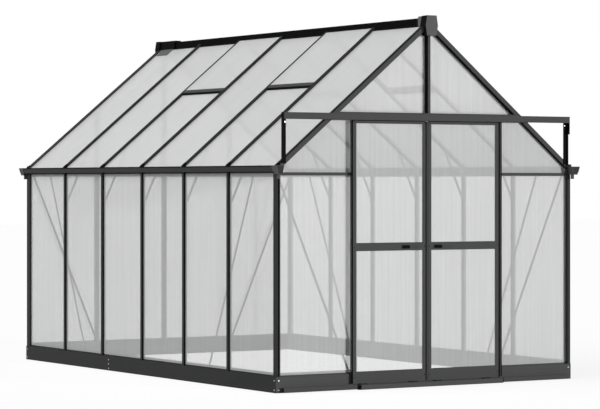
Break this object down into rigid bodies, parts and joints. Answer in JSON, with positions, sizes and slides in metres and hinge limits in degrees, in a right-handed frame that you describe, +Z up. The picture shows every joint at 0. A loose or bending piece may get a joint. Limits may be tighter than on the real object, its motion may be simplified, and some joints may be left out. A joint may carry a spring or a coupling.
{
  "type": "greenhouse",
  "caption": "Freestanding greenhouse with twin-wall polycarbonate sheets in a dark aluminium frame, a pitched roof with vents and a pair of sliding doors on a head rail.",
  "frame": {"origin": "centre of the footprint at ground level", "axes": "+Z up; +X towards the right-hand wall seen from the doors; +Y from the doors towards the back gable"},
  "size_m": [2.49, 3.908, 2.513],
  "materials": {
    "frame_coating": "satin powder coat, anthracite",
    "base_coating": "satin powder coat, anthracite",
    "rail_coating": "satin powder coat, anthracite",
    "moulded_plastic": "matt moulded plastic",
    "roller_plastic": "matt moulded plastic",
    "handle_plastic": "matt moulded plastic",
    "twin_wall_sheet": "clear twin-wall polycarbonate"
  },
  "bodies": {
    "house": {"base_front": "base_coating", "base_back": "base_coating", "base_left": "base_coating", "base_right": "base_coating", "base_brackets": "base_coating", "corner_posts": "frame_coating", "left_wall_posts": "frame_coating", "right_wall_posts": "frame_coating", "gable_posts": "frame_coating", "door_jambs": "frame_coating", "door_header": "frame_coating", "eave_bars": "frame_coating", "left_gutter": "frame_coating", "right_gutter": "frame_coating", "gutter_end_caps": "moulded_plastic", "ridge": "frame_coating", "ridge_end_caps": "moulded_plastic", "gable_rafters": "frame_coating", "left_rafters": "frame_coating", "right_rafters": "frame_coating", "wall_braces": "frame_coating", "knee_braces": "frame_coating", "left_wall_sheets": "twin_wall_sheet", "right_wall_sheets": "twin_wall_sheet", "front_wall_sheets": "twin_wall_sheet", "front_gable_sheets": "twin_wall_sheet", "back_wall_sheets": "twin_wall_sheet", "left_roof_sheets": "twin_wall_sheet", "right_roof_sheets": "twin_wall_sheet", "vent_frames": "frame_coating", "vent_sheets": "twin_wall_sheet", "vent_sills": "frame_coating", "door_head_rail": "rail_coating", "rail_end_struts": "frame_coating", "bottom_track": "frame_coating", "threshold": "base_coating"},
    "left_door": {"left_door_frame": "frame_coating", "left_door_sheets": "twin_wall_sheet", "left_door_rollers": "roller_plastic", "left_door_handle": "handle_plastic"},
    "right_door": {"right_door_frame": "frame_coating", "right_door_sheets": "twin_wall_sheet", "right_door_rollers": "roller_plastic", "right_door_handle": "handle_plastic"}
  },
  "joints": [
    {"name": "left_door_slide", "type": "slide", "parent": "house", "child": "left_door", "axis": [-1, 0, 0], "range_m": [0, 0.5]},
    {"name": "right_door_slide", "type": "slide", "parent": "house", "child": "right_door", "axis": [1, 0, 0], "range_m": [0, 0.56]}
  ]
}
